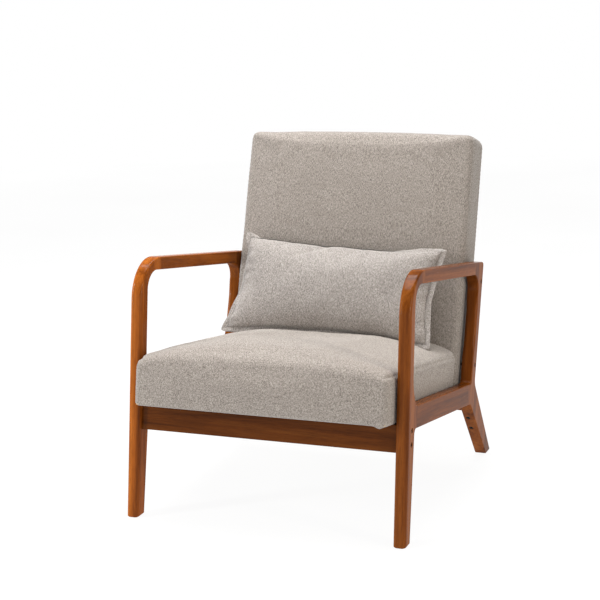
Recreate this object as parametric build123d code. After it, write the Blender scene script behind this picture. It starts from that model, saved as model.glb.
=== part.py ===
"""Wooden armchair: two bent side frames, a box seat, a leaning padded back and a loose lumbar pillow.

Millimetres, +Z up, the sitter faces -Y and +X is on the right of someone who looks at the front.
A side frame is drawn in (y, z) with y = 0 at the front foot's front edge. Every part is moved along Y
at the very end, so that the chair's box is centred on the origin and its feet stand on z = 0.
"""
from build123d import *
from math import acos, cos, hypot, pi, radians, sin, tan
import os

# ---- driving dimensions: side frames -------------------------------------------------------
WIDTH = 650.0            # over the two side frames
STOCK = 28.0             # thickness of every side-frame board, along X
LEG_LEAN = 7.9           # degrees that the front legs lean back
RAIL_TILT = 9.4          # degrees that the seat and its rails fall to the rear
ARM_TILT = 9.1           # degrees that the armrests fall to the rear
RECLINE = 18.05          # degrees that the back leans from vertical
FOOT_DEPTH = 33.0        # front leg, front to rear, at the floor
HIP_DEPTH = 46.0         # the same where the side rail joins
HIP_HEIGHT = 220.0
LEG_DEPTH = 32.0         # front leg above the rail
ARM_HEIGHT = 573.0       # top of the armrest, 60 mm behind the foot's front edge
ARM_SET = 60.0
ARM_THICK = 29.0
POST_DEPTH = 32.0        # rear upright, front to rear
KNEE = (542.6, 204.6)    # where the upright's rear edge turns into the splayed rear leg
REAR_FOOT = (633.4, 670.0)   # front and rear edge of the rear foot
RAIL_REAR_BOTTOM = (500.0, 164.3)
RAIL_FRONT_TOP = (96.3, 280.0)
FLARE_START = 350.0      # height where the front leg starts to widen towards the rail

# ---- roundings -----------------------------------------------------------------------------
SHOULDER_OUT = 90.0      # outer and inner radius of the front leg's bend into the armrest
SHOULDER_IN = 42.0
REAR_CORNER_OUT = 9.0
REAR_CORNER_IN = 35.0
HIP_FILLET = 12.0
CROTCH_FILLET = 14.0
KNEE_ROUND = 22.0
FRONT_ROUND = 9.5        # the generous roundover down the front of each leg
POST_ROUND = 8.5
EDGE_ROUND = 2.8         # every other edge of the side frames
SOLE_CHAMFER = 2.0
STOP_LENGTH = 34.0       # length over which a post's roundover runs out
POST_BLOCK_LOW = 62.0    # end of the plain blocks at the post's two ends, along the post
POST_BLOCK_HIGH = 52.0

# ---- cross rails ---------------------------------------------------------------------------
FRONT_RAIL_FOOT = (40.5, 192.1)      # lower front edge of the front rail
FRONT_RAIL_THICK = 25.0
REAR_RAIL_THICK = 22.0
REAR_RAIL_SPAN = (45.0, 78.0)        # upper and lower edge of the rear rail, down the leg from the knee
REAR_RAIL_EAR = 124.5    # lower end of the ears that turn down behind the legs
REBATE = 21.0            # how far the rear rail's ends are let into the rear legs

# ---- upholstery ----------------------------------------------------------------------------
CUSHION_WIDTH = 587.0
CLOTH = 1.5              # cover fabric with its lining
SEAT_FRONT = (-5.0, 259.4)           # lower front edge of the seat
SEAT_THICK = 122.0
SEAT_GAP = 1.5           # between the seat's rear and the back's front
SEAT_TOP_ROUND = 22.0
SEAT_CORNER_ROUND = 16.0
SEAT_LOW_ROUND = 5.0
BACK_BEHIND_POST = 42.1  # rear face of the back, behind the posts' rear edges
BACK_THICK = 105.0
BACK_LOW = -26.0         # lower and upper end of the back, along it from the knee
BACK_HIGH = 595.5
BACK_ROUND = 18.0
STICK = 20.0             # width of the hidden frame sticks
SEAT_STICK_HEIGHT = 45.0
BACK_STICK_DEPTH = 58.0
FRAME_INSET = 7.0        # seat frame sticks lie this far inside their cover
BACK_FRAME_INSET = 9.0   # and the back's sticks in theirs
SPRING_COUNT = 5
SPRING_WIRE = 3.5
STRAP_COUNT = 6
STRAP_WIDTH = 50.0

# ---- pillow --------------------------------------------------------------------------------
PILLOW_FOOT = (396.0, 322.0)         # lower edge of its flange
PILLOW_TILT = 33.0
PILLOW_SIZE = (525.0, 265.0)         # over the flange
PILLOW_PUFF = 108.0
FLANGE = 12.0
FLANGE_THICK = 3.0

# ---- hardware ------------------------------------------------------------------------------
BOLT_DIAMETER = 6.0
HEAD_DIAMETER = 10.0
HEAD_HEIGHT = 5.5
COUNTERBORE_DIAMETER = 11.0
COUNTERBORE_DEPTH = 7.0
HEX_SOCKET = 4.0
INSERT_DIAMETER = 10.0
FRONT_BOLT_LENGTH = 60.0
REAR_BOLT_LENGTH = 35.0
BACK_BOLT_LENGTH = 50.0
FRONT_BOLT_SPOTS = ((61.2, 236.7), (56.2, 207.4))
REAR_BOLT_SPOTS = ((537.2, 118.4), (564.0, 85.5))
REAR_BOLT_INSET = 17.0   # from the frame's outer face
BACK_BOLT_HEIGHTS = (42.4, 241.8)    # along the post, from the knee
BACK_BOLT_INSET = 12.5   # in front of the post's rear edge
DOWEL_DIAMETER = 8.0
DOWEL_LENGTH = 44.0
DOWEL_SHARES = (0.28, 0.72)          # a joint's two dowels, as shares of the board's height
SCREW_DIAMETER = 3.5
SCREW_LENGTH = 16.0
BRACKET_THICK = 2.0
BRACKET_LENGTH = 36.0
BARREL_LENGTH = 16.0
RAIL_INSERT = 15.0
BACK_INSERT = 18.0

HALF = WIDTH / 2
INNER = HALF - STOCK     # inner face of a side frame
CUSHION_HALF = CUSHION_WIDTH / 2


# ---- (y, z) geometry -----------------------------------------------------------------------
def along(degrees):
    """Unit vector that points up and leans to the rear by that angle."""
    return Vector(0, sin(radians(degrees)), cos(radians(degrees)))


def rearward(degrees):
    """Unit vector that points to the rear and falls by that angle."""
    return Vector(0, cos(radians(degrees)), -sin(radians(degrees)))


def at(yz):
    return Vector(0, yz[0], yz[1])


def crossing(point_a, direction_a, point_b, direction_b):
    """Where two lines in the (y, z) plane meet."""
    offset = point_b - point_a
    cross = direction_a.Y * direction_b.Z - direction_a.Z * direction_b.Y
    travel = (offset.Y * direction_b.Z - offset.Z * direction_b.Y) / cross
    return point_a + direction_a * travel


LEG = along(LEG_LEAN)
LEG_REAR = rearward(LEG_LEAN)
RAIL = rearward(RAIL_TILT)
RAIL_UP = along(RAIL_TILT)
ARM = rearward(ARM_TILT)
ARM_UP = along(ARM_TILT)
POST = along(RECLINE)
POST_REAR = rearward(RECLINE)

knee = at(KNEE)
crotch = at(RAIL_REAR_BOTTOM)
rear_leg = (at((REAR_FOOT[1], 0)) - knee).normalized()
rear_leg_out = Vector(0, -rear_leg.Z, rear_leg.Y)
arm_top = at((ARM_SET, ARM_HEIGHT))
shoulder_corner = crossing(Vector(0, 0, 0), LEG, arm_top, ARM)
post_top = crossing(knee, POST, arm_top, ARM)
post_inner_top = crossing(knee - POST_REAR * POST_DEPTH, POST, arm_top - ARM_UP * ARM_THICK, ARM)
post_inner_foot = crossing(knee - POST_REAR * POST_DEPTH, POST, at(RAIL_FRONT_TOP), RAIL)
hip_slope = (at((HIP_HEIGHT * tan(radians(LEG_LEAN)) + HIP_DEPTH, HIP_HEIGHT)) - at((FOOT_DEPTH, 0)))
hip = crossing(at((FOOT_DEPTH, 0)), hip_slope, crotch, RAIL)
flare_top = LEG_REAR * LEG_DEPTH + LEG * (FLARE_START / LEG.Z)

turn = pi - acos((-LEG).dot(ARM))                   # angle of the shoulder's bend
shoulder_reach = SHOULDER_OUT * tan(turn / 2)
shoulder_start = shoulder_corner - LEG * shoulder_reach
shoulder_end = shoulder_corner + ARM * shoulder_reach
block_low = knee + POST * POST_BLOCK_LOW
block_high = post_top - POST * (POST_BLOCK_HIGH + POST_DEPTH)


def outline(points, fillets, start_x, width, curve=None):
    """Extrudes a closed (y, z) outline along X. fillets maps a point's index to its corner radius.
    curve replaces the straight edge that leaves point number curve[0] by the edge curve[1]."""
    edges = []
    for index, point in enumerate(points):
        following = points[(index + 1) % len(points)]
        if curve and curve[0] == index:
            edges.append(curve[1])
        else:
            edges.append(Line(point, following))
    face = make_face(edges)
    for index, radius in fillets.items():
        corner = min(face.vertices(), key=lambda v: (Vector(v) - points[index]).length)
        face = fillet(corner, radius)
    return Location((start_x, 0, 0)) * extrude(face, amount=width, dir=(1, 0, 0))


def side_edges(solid, near=None):
    """Edges that lie in the solid's two side faces, and pass near one of the given (y, z) points."""
    box = solid.bounding_box()
    found = []
    for edge in solid.edges():
        middle = edge.position_at(0.5)
        if min(abs(middle.X - box.min.X), abs(middle.X - box.max.X)) > 0.01:
            continue
        if edge.bounding_box().size.X > 0.01:
            continue
        flat = Vector(0, middle.Y, middle.Z)
        if near is None or min((flat - point).length for point in near) < 1.0:
            found.append(edge)
    return found


def off_cuts(edges, cuts):
    """Leaves out the edges that lie on one of the cut planes, each given as (point, normal)."""
    kept = []
    for edge in edges:
        ends = (edge.position_at(0), edge.position_at(1))
        on_cut = any(
            all(abs((Vector(0, end.Y, end.Z) - point).dot(normal)) < 0.05 for end in ends)
            for point, normal in cuts
        )
        if not on_cut:
            kept.append(edge)
    return kept


def bar_section(origin, travel, depth, round_out, round_in):
    """Cross-section of a side-frame member. Its outer edge passes through origin, its inner side is
    depth further in, and travel is the direction of the member."""
    plane = Plane(origin=origin + Vector(INNER + STOCK / 2, 0, 0), x_dir=(1, 0, 0), z_dir=travel)
    face = Rectangle(STOCK, depth, align=(Align.CENTER, Align.MIN))
    outer = face.vertices().sort_by(Axis.Y)[:2]
    face = fillet(outer, round_out)
    inner = face.vertices().sort_by(Axis.Y)[-2:]
    face = fillet(inner, round_in)
    return plane * face


# ---- the side frame, drawn as one continuous shape -------------------------------------------
def lower_block():
    """Front leg up to its shoulder, side rail, and the rear leg with the foot of its upright."""
    points = [
        Vector(0, 0, 0),
        at((FOOT_DEPTH, 0)),
        hip,
        crotch,
        at((REAR_FOOT[0], 0)),
        at((REAR_FOOT[1], 0)),
        knee,
        block_low,
        block_low - POST_REAR * POST_DEPTH,
        post_inner_foot,
        at(RAIL_FRONT_TOP),
        flare_top,
        shoulder_start + LEG_REAR * LEG_DEPTH,
        shoulder_start,
    ]
    flare = TangentArc(points[11], points[10], tangent=-LEG)
    body = outline(points, {2: HIP_FILLET, 3: CROTCH_FILLET, 6: KNEE_ROUND, 9: HIP_FILLET},
                   INNER, STOCK, (10, flare))
    body = fillet(side_edges(body, [(points[0] + points[13]) * 0.5]), FRONT_ROUND)
    cuts = ((shoulder_start, LEG), (block_low, POST))
    plain = [e for e in off_cuts(side_edges(body), cuts) if e.position_at(0.5).Z > 0.01]
    body = fillet(plain, EDGE_ROUND)
    soles = [e for e in body.edges() if e.bounding_box().max.Z < 0.01]
    return chamfer(soles, SOLE_CHAMFER)


def shoulder_depth(angle):
    """Depth of the bent shoulder, measured from its outer arc towards that arc's centre."""
    leg_side = SHOULDER_OUT - LEG_DEPTH
    arm_side = SHOULDER_OUT - ARM_THICK
    # centre of the inner arc, seen from the outer arc's centre, along the two members' normals
    along_leg_normal = leg_side - SHOULDER_IN
    along_arm_normal = arm_side - SHOULDER_IN
    across = (along_arm_normal - along_leg_normal * cos(turn)) / sin(turn)
    towards = along_leg_normal * cos(angle) + across * sin(angle)
    centre_distance = hypot(along_leg_normal, across)
    first = _tangent_angle(across, along_leg_normal, 0)
    last = _tangent_angle(across, along_leg_normal, turn)
    if angle < first:
        reach = leg_side / cos(angle)
    elif angle > last:
        reach = arm_side / cos(turn - angle)
    else:
        reach = towards + (SHOULDER_IN ** 2 - centre_distance ** 2 + towards ** 2) ** 0.5
    return SHOULDER_OUT - reach


def _tangent_angle(across, along_leg_normal, normal_angle):
    """Angle, seen from the outer arc's centre, at which the inner arc touches a member's inner line."""
    touch_u = along_leg_normal + SHOULDER_IN * cos(normal_angle)
    touch_v = across + SHOULDER_IN * sin(normal_angle)
    return acos(touch_u / hypot(touch_u, touch_v))


def shoulder(stations=12):
    """The bend at the top of the front leg. Its generous roundover fades out towards the armrest."""
    centre = shoulder_start + LEG_REAR * SHOULDER_OUT
    sections = []
    for station in range(stations + 1):
        share = station / stations
        angle = turn * share
        outward = -LEG_REAR * cos(angle) + LEG * sin(angle)
        travel = LEG * cos(angle) + LEG_REAR * sin(angle)
        fade = share * share * (3 - 2 * share)
        roundover = FRONT_ROUND + (EDGE_ROUND - FRONT_ROUND) * fade
        origin = centre + outward * SHOULDER_OUT
        sections.append(bar_section(origin, travel, shoulder_depth(angle), roundover, EDGE_ROUND))
    return loft(sections)


def upper_block():
    """Straight armrest with the corner at its rear and the top of the upright."""
    points = [
        shoulder_end,
        post_top,
        block_high,
        block_high - POST_REAR * POST_DEPTH,
        post_inner_top,
        shoulder_end - ARM_UP * ARM_THICK,
    ]
    body = outline(points, {1: REAR_CORNER_OUT, 4: REAR_CORNER_IN}, INNER, STOCK)
    cuts = ((shoulder_end, ARM), (block_high, POST))
    return fillet(off_cuts(side_edges(body), cuts), EDGE_ROUND)


def post_bar():
    """Straight part of the upright. The roundover of its front is stopped at both ends."""
    length = (block_high - block_low).length
    stations = (
        (0, EDGE_ROUND),
        (STOP_LENGTH, POST_ROUND),
        (length - STOP_LENGTH, POST_ROUND),
        (length, EDGE_ROUND),
    )
    pieces = []
    for (start, round_start), (end, round_end) in zip(stations, stations[1:]):
        sections = [
            bar_section(block_low + POST * distance - POST_REAR * POST_DEPTH, POST, POST_DEPTH,
                        roundover, EDGE_ROUND)
            for distance, roundover in ((start, round_start), (end, round_end))
        ]
        pieces.append(loft(sections, ruled=True))
    return pieces


def half_space(point, normal):
    """A large block on the far side of a plane across the (y, z) plane."""
    size = 3000.0
    plane = Plane(origin=point, x_dir=(1, 0, 0), z_dir=normal)
    return plane * Box(size, size, size, align=(Align.CENTER, Align.CENTER, Align.MIN))


# ---- fasteners -------------------------------------------------------------------------------
def cap_bolt(length):
    """Socket cap bolt. The underside of its head is at z = 0 and the shank runs to -length."""
    shank = Cylinder(BOLT_DIAMETER / 2, length, align=(Align.CENTER, Align.CENTER, Align.MAX))
    head = Cylinder(HEAD_DIAMETER / 2, HEAD_HEIGHT, align=(Align.CENTER, Align.CENTER, Align.MIN))
    head = fillet(head.edges().sort_by(Axis.Z)[-1], 0.8)
    socket = extrude(RegularPolygon(HEX_SOCKET / 2, 6, major_radius=False), 3.0)
    bolt = chamfer((shank + head).edges().sort_by(Axis.Z)[0], 0.6)
    return bolt - Pos(0, 0, HEAD_HEIGHT - 3.0) * socket


def bolt_hole(length):
    """Clearance hole and counterbore for a cap bolt in the same place."""
    shank = Cylinder(BOLT_DIAMETER / 2 + 0.3, length, align=(Align.CENTER, Align.CENTER, Align.MAX))
    bore = Cylinder(COUNTERBORE_DIAMETER / 2, 60.0, align=(Align.CENTER, Align.CENTER, Align.MIN))
    return shank + bore


def threaded_insert(length):
    """Insert nut with its mouth at z = 0."""
    body = Cylinder(INSERT_DIAMETER / 2, length, align=(Align.CENTER, Align.CENTER, Align.MAX))
    return body - Cylinder(BOLT_DIAMETER / 2 + 0.05, 3 * length)


def insert_hole(length):
    return Cylinder(INSERT_DIAMETER / 2, length, align=(Align.CENTER, Align.CENTER, Align.MAX))


def barrel_nut():
    """Cross dowel along Z with its tapped hole along X."""
    body = Cylinder(INSERT_DIAMETER / 2, BARREL_LENGTH)
    return body - Rot(0, 90, 0) * Cylinder(BOLT_DIAMETER / 2 + 0.05, 30.0)


def wood_screw():
    """Countersunk screw. Its flat head is at z = 0 and its point at -SCREW_LENGTH."""
    radius = SCREW_DIAMETER / 2
    profile = Polyline((0, 0), (2 * radius, 0), (radius, -radius), (radius, 3 - SCREW_LENGTH),
                       (0, -SCREW_LENGTH), close=True)
    return revolve(Plane.XZ * make_face(profile), Axis.Z)


def dowel():
    """Beech dowel along Z, centred on the joint."""
    body = Cylinder(DOWEL_DIAMETER / 2, DOWEL_LENGTH)
    return chamfer(body.edges().filter_by(GeomType.CIRCLE), 1.0)


def facing(point, direction, x_dir=(1, 0, 0)):
    """Places something made at the origin, with its +Z turned to a direction."""
    return Plane(origin=point, x_dir=x_dir, z_dir=direction).location


def group(shapes):
    """Separate solids kept side by side in one compound."""
    solids = [solid for shape in shapes for solid in shape.solids()]
    return Compound(solids)


def mirrored(shape):
    return mirror(shape, Plane.YZ)


# ---- joint planes and dowels of a side frame ---------------------------------------------------
rail_front_joint = at(RAIL_FRONT_TOP) + RAIL * 4.0
rail_rear_joint = post_inner_foot - RAIL * (HIP_FILLET + 12.0)
arm_front_joint = shoulder_end + ARM * 1.0
arm_rear_joint = post_inner_top - ARM * (REAR_CORNER_IN + 2.0) + ARM_UP * ARM_THICK
RAIL_HEIGHT = (crossing(at(RAIL_FRONT_TOP), RAIL_UP, crotch, RAIL) - at(RAIL_FRONT_TOP)).length


def dowel_places():
    """Location of each dowel of the right side frame."""
    middle = Vector(INNER + STOCK / 2, 0, 0)
    places = []
    for share in DOWEL_SHARES:
        for joint in (rail_front_joint, rail_rear_joint):
            places.append(facing(joint - RAIL_UP * RAIL_HEIGHT * share + middle, RAIL))
        for joint in (arm_front_joint, arm_rear_joint):
            places.append(facing(joint - ARM_UP * ARM_THICK * share + middle, ARM))
    return places


# ---- bolts of the right side --------------------------------------------------------------------
def side_bolt_places(spots):
    """Bolts that enter the outer face of a side frame."""
    seat = HALF - COUNTERBORE_DEPTH
    return [facing(Vector(seat, spot.Y, spot.Z), (1, 0, 0), (0, 1, 0)) for spot in spots]


front_bolt_places = side_bolt_places([at(spot) for spot in FRONT_BOLT_SPOTS])
back_bolt_places = side_bolt_places(
    [knee + POST * height - POST_REAR * BACK_BOLT_INSET for height in BACK_BOLT_HEIGHTS]
)
rear_bolt_places = [
    facing(at(spot) + rear_leg_out * COUNTERBORE_DEPTH + Vector(HALF - REAR_BOLT_INSET, 0, 0), -rear_leg_out)
    for spot in REAR_BOLT_SPOTS
]

barrel_places = [
    facing(Vector(HALF - COUNTERBORE_DEPTH - FRONT_BOLT_LENGTH + 9.0, spot[0], spot[1]), RAIL)
    for spot in FRONT_BOLT_SPOTS
]
rail_insert_places = []
for spot in REAR_BOLT_SPOTS:
    to_rail = (knee - at(spot)).dot(rear_leg_out) - REAR_RAIL_THICK
    mouth = at(spot) + rear_leg_out * to_rail + Vector(HALF - REAR_BOLT_INSET, 0, 0)
    rail_insert_places.append(facing(mouth, -rear_leg_out))
head_to_stile = CUSHION_HALF - BACK_FRAME_INSET - HALF + COUNTERBORE_DEPTH
back_insert_places = [Pos(head_to_stile, 0, 0) * place for place in back_bolt_places]


# ---- cross rails -----------------------------------------------------------------------------
seat_low_front = at(SEAT_FRONT)
front_rail_height = (seat_low_front - at(FRONT_RAIL_FOOT)).dot(RAIL_UP)
front_rail_plane = Plane(origin=at(FRONT_RAIL_FOOT), x_dir=(1, 0, 0), z_dir=RAIL_UP)
rear_rail_plane = Plane(origin=knee, x_dir=(1, 0, 0), z_dir=rear_leg_out)     # its Y axis runs down the leg


def front_rail():
    body = front_rail_plane * Box(2 * INNER, FRONT_RAIL_THICK, front_rail_height,
                                  align=(Align.CENTER, Align.MIN, Align.MIN))
    long_edges = [e for e in body.edges() if e.bounding_box().size.X > INNER]
    return fillet(long_edges, 2.0)


def rear_rail():
    """Slim rail across the rear. Its ends turn down behind the legs, where the bolts reach them."""
    top, bottom = REAR_RAIL_SPAN
    end = INNER + REBATE
    right_half = Polyline((0, top), (end, top), (end, REAR_RAIL_EAR), (INNER, REAR_RAIL_EAR),
                          (INNER, bottom), (0, bottom), close=True)
    face = make_face(right_half)
    face += mirror(face, Plane.YZ)
    inner_corners = [v for v in face.vertices() if abs(v.Y - bottom) < 0.01 and abs(v.X) > 1]
    face = fillet(inner_corners, 12.0)
    body = extrude(face, -REAR_RAIL_THICK)
    long_edges = [e for e in body.edges() if e.bounding_box().size.X > INNER]
    return rear_rail_plane * fillet(long_edges, 1.0)


# ---- seat ------------------------------------------------------------------------------------
seat_plane = Plane(origin=seat_low_front, x_dir=(1, 0, 0), z_dir=RAIL_UP)    # its Y axis runs rearwards
back_origin = knee + POST_REAR * BACK_BEHIND_POST
back_plane = Plane(origin=back_origin, x_dir=(1, 0, 0), z_dir=-POST_REAR)     # its Y axis runs up the back
back_face = back_origin - POST_REAR * BACK_THICK
seat_end = back_face - POST_REAR * SEAT_GAP


def seat_block(inset):
    """The seat's outer shape, moved inwards by inset on every side."""
    low = seat_low_front + RAIL_UP * inset
    high = seat_low_front + RAIL_UP * (SEAT_THICK - inset)
    rear = seat_end - POST_REAR * inset
    points = [
        low + RAIL * inset,
        crossing(low, RAIL, rear, POST),
        crossing(high, RAIL, rear, POST),
        high + RAIL * inset,
    ]
    half = CUSHION_HALF - inset
    body = outline(points, {}, -half, 2 * half)
    top = RAIL_UP.dot(points[2])
    low_level = RAIL_UP.dot(points[0])
    upright = [e for e in body.edges()
               if abs(RAIL_UP.dot(e.position_at(0)) - RAIL_UP.dot(e.position_at(1))) > SEAT_THICK / 2]
    body = fillet(upright, SEAT_CORNER_ROUND - inset)
    rim = [e for e in body.edges() if abs(RAIL_UP.dot(e.position_at(0.5)) - top) < 0.05]
    body = fillet(rim, SEAT_TOP_ROUND - inset)
    hem = [e for e in body.edges() if abs(RAIL_UP.dot(e.position_at(0.5)) - low_level) < 0.05]
    return fillet(hem, SEAT_LOW_ROUND - inset)


SEAT_LENGTH = (crossing(seat_low_front, RAIL, seat_end, POST) - seat_low_front).length
SEAT_OPENING_INSET = 34.0
STICK_LOW = CLOTH + 0.5
SPRING_LEVEL = STICK_LOW + SEAT_STICK_HEIGHT + SPRING_WIRE / 2
SPRING_PITCH = 28.0
SPRING_BARS = 15
SPRING_WIDTH = 52.0
SEAT_FOAM_LOW = SPRING_LEVEL + SPRING_WIRE / 2 + 3.0


def seat_opening(shrink, low, high):
    """The rectangle that the seat cover leaves open below, between two levels."""
    width = 2 * (CUSHION_HALF - SEAT_OPENING_INSET - shrink)
    length = SEAT_LENGTH - 2 * (SEAT_OPENING_INSET + shrink)
    slab = Box(width, length, high - low, align=(Align.CENTER, Align.MIN, Align.MIN))
    return seat_plane * Pos(0, SEAT_OPENING_INSET + shrink, low) * slab


def seat_sticks():
    """The four sticks of the seat's frame, by name."""
    outer = CUSHION_HALF - FRAME_INSET
    first = FRAME_INSET
    last = SEAT_LENGTH - FRAME_INSET
    inner_half = outer - STICK

    def stick(x0, x1, y0, y1):
        body = Box(x1 - x0, y1 - y0, SEAT_STICK_HEIGHT, align=(Align.MIN, Align.MIN, Align.MIN))
        return seat_plane * Pos(x0, y0, STICK_LOW) * body

    return {
        "seat_frame_left_stick": stick(-outer, -inner_half, first, last),
        "seat_frame_right_stick": stick(inner_half, outer, first, last),
        "seat_frame_front_stick": stick(-inner_half, inner_half, first, first + STICK),
        "seat_frame_rear_stick": stick(-inner_half, inner_half, last - STICK, last),
    }


def spring_spots():
    """X of each spring's middle."""
    step = 2 * (CUSHION_HALF - FRAME_INSET - STICK) / SPRING_COUNT
    return [step * (number - (SPRING_COUNT - 1) / 2) for number in range(SPRING_COUNT)]


SPRING_START = (SEAT_LENGTH - SPRING_PITCH * (SPRING_BARS - 1)) / 2


def zigzag_spring(x):
    """One sinuous spring: bars across the seat, joined by half turns."""
    points = []
    for bar in range(SPRING_BARS):
        y = SPRING_START + bar * SPRING_PITCH
        ends = (-SPRING_WIDTH / 2, SPRING_WIDTH / 2)
        for end in ends if bar % 2 == 0 else ends[::-1]:
            points.append((x + end, y, SPRING_LEVEL))
    path = seat_plane * FilletPolyline(*points, radius=SPRING_PITCH / 2 - 0.5)
    return sweep(Plane(origin=path @ 0, z_dir=path % 0) * Circle(SPRING_WIRE / 2), path)


def spring_clip(x, y):
    """Folded steel clip that holds a spring's end bar on the frame."""
    block = Box(22.0, 13.0, SPRING_WIRE + 1.4, align=(Align.CENTER, Align.CENTER, Align.MIN))
    slot = Box(23.0, 13.0, SPRING_WIRE + 0.2, align=(Align.CENTER, Align.CENTER, Align.MIN))
    block -= Pos(0, 2.5, 0) * slot
    turned = Rot(0, 0, 180 if y > SEAT_LENGTH / 2 else 0)
    return seat_plane * Pos(x, y, STICK_LOW + SEAT_STICK_HEIGHT) * turned * block


def bracket_spots():
    return (SEAT_LENGTH * 0.25, SEAT_LENGTH * 0.78)


def seat_bracket(y):
    """Right-hand steel angle: one flange under the seat frame, the other up the side rail's inner face."""
    low = Box(32.0, BRACKET_LENGTH, BRACKET_THICK, align=(Align.MAX, Align.CENTER, Align.MAX))
    tall = Box(BRACKET_THICK, BRACKET_LENGTH, 26.0, align=(Align.MAX, Align.CENTER, Align.MIN))
    return seat_plane * Pos(INNER, y, 0) * (low + tall)


def bracket_screws(y):
    """Two screws up into the seat frame and two sideways into the rail, for a right-hand bracket."""
    screws = []
    for offset in (-BRACKET_LENGTH / 4, BRACKET_LENGTH / 4):
        up = Pos(CUSHION_HALF - FRAME_INSET - STICK / 2, y + offset, -BRACKET_THICK) * Rot(180, 0, 0)
        across = Pos(INNER - BRACKET_THICK, y + offset, 14.0) * Rot(0, -90, 0)
        screws += [seat_plane * up * wood_screw(), seat_plane * across * wood_screw()]
    return screws


# ---- back ------------------------------------------------------------------------------------
STICK_BACK = 12.0        # rear face of the back frame, from the back's rear face
PANEL_THICK = 3.0
STRAP_THICK = 1.5


def back_block(inset):
    """The back's outer shape, moved inwards by inset on every side."""
    length = BACK_HIGH - BACK_LOW - 2 * inset
    body = Box(2 * (CUSHION_HALF - inset), length, BACK_THICK - 2 * inset,
               align=(Align.CENTER, Align.MIN, Align.MIN))
    return back_plane * Pos(0, BACK_LOW + inset, inset) * fillet(body.edges(), BACK_ROUND - inset)


def back_sticks():
    """The sticks of the back's frame, by name."""
    outer = CUSHION_HALF - BACK_FRAME_INSET
    low = BACK_LOW + BACK_FRAME_INSET
    high = BACK_HIGH - BACK_FRAME_INSET
    inner_half = outer - STICK

    def stick(x0, x1, y0, y1):
        body = Box(x1 - x0, y1 - y0, BACK_STICK_DEPTH, align=(Align.MIN, Align.MIN, Align.MIN))
        return back_plane * Pos(x0, y0, STICK_BACK) * body

    return {
        "back_frame_left_stile": stick(-outer, -inner_half, low, high),
        "back_frame_right_stile": stick(inner_half, outer, low, high),
        "back_frame_bottom_rail": stick(-inner_half, inner_half, low, low + STICK),
        "back_frame_top_rail": stick(-inner_half, inner_half, high - STICK, high),
    }


def back_panel():
    """Hardboard sheet behind the frame, which keeps the rear cover flat."""
    size = (2 * (CUSHION_HALF - BACK_FRAME_INSET), BACK_HIGH - BACK_LOW - 2 * BACK_FRAME_INSET, PANEL_THICK)
    body = Box(*size, align=(Align.CENTER, Align.MIN, Align.MAX))
    return back_plane * Pos(0, BACK_LOW + BACK_FRAME_INSET, STICK_BACK) * body


def back_straps():
    """Elastic webbing across the front of the frame."""
    width = 2 * (CUSHION_HALF - BACK_FRAME_INSET) - 8.0
    first = BACK_LOW + BACK_FRAME_INSET + STICK + 45.0
    last = BACK_HIGH - BACK_FRAME_INSET - STICK - 45.0
    step = (last - first) / (STRAP_COUNT - 1)
    level = STICK_BACK + BACK_STICK_DEPTH
    strap = Box(width, STRAP_WIDTH, STRAP_THICK, align=(Align.CENTER, Align.CENTER, Align.MIN))
    return [back_plane * Pos(0, first + number * step, level) * strap for number in range(STRAP_COUNT)]


def slab_above(plane, level):
    """Everything beyond a level above a plane."""
    return plane * Pos(0, 0, level) * Box(2000, 2000, 2000, align=(Align.CENTER, Align.CENTER, Align.MIN))


# ---- pillow ----------------------------------------------------------------------------------
pillow_plane = Plane(origin=at(PILLOW_FOOT), x_dir=(1, 0, 0), z_dir=-rearward(PILLOW_TILT))
PILLOW_ROUND = 50.0


def pillow_block(inset):
    width = PILLOW_SIZE[0] - 2 * (FLANGE + inset)
    height = PILLOW_SIZE[1] - 2 * (FLANGE + inset)
    body = Box(width, height, PILLOW_PUFF - 2 * inset)
    return pillow_plane * Pos(0, PILLOW_SIZE[1] / 2, 0) * fillet(body.edges(), PILLOW_ROUND - inset)


def pillow_flange():
    face = RectangleRounded(PILLOW_SIZE[0], PILLOW_SIZE[1], 8.0)
    return pillow_plane * Pos(0, PILLOW_SIZE[1] / 2, -FLANGE_THICK / 2) * extrude(face, FLANGE_THICK)


ZIP_LENGTH = 400.0
ZIP_SECTION = (5.0, 1.6)


def pillow_zip():
    """Closed zip along the lower flange, on its rear side."""
    teeth = Box(ZIP_LENGTH, *ZIP_SECTION, align=(Align.CENTER, Align.CENTER, Align.MAX))
    slider = Box(8.0, 7.0, 2.6, align=(Align.CENTER, Align.CENTER, Align.MAX))
    run = Pos(0, FLANGE / 2, -FLANGE_THICK / 2)
    return pillow_plane * run * (teeth + Pos(ZIP_LENGTH / 2 - 6.0, 0, 0) * slider)


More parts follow.
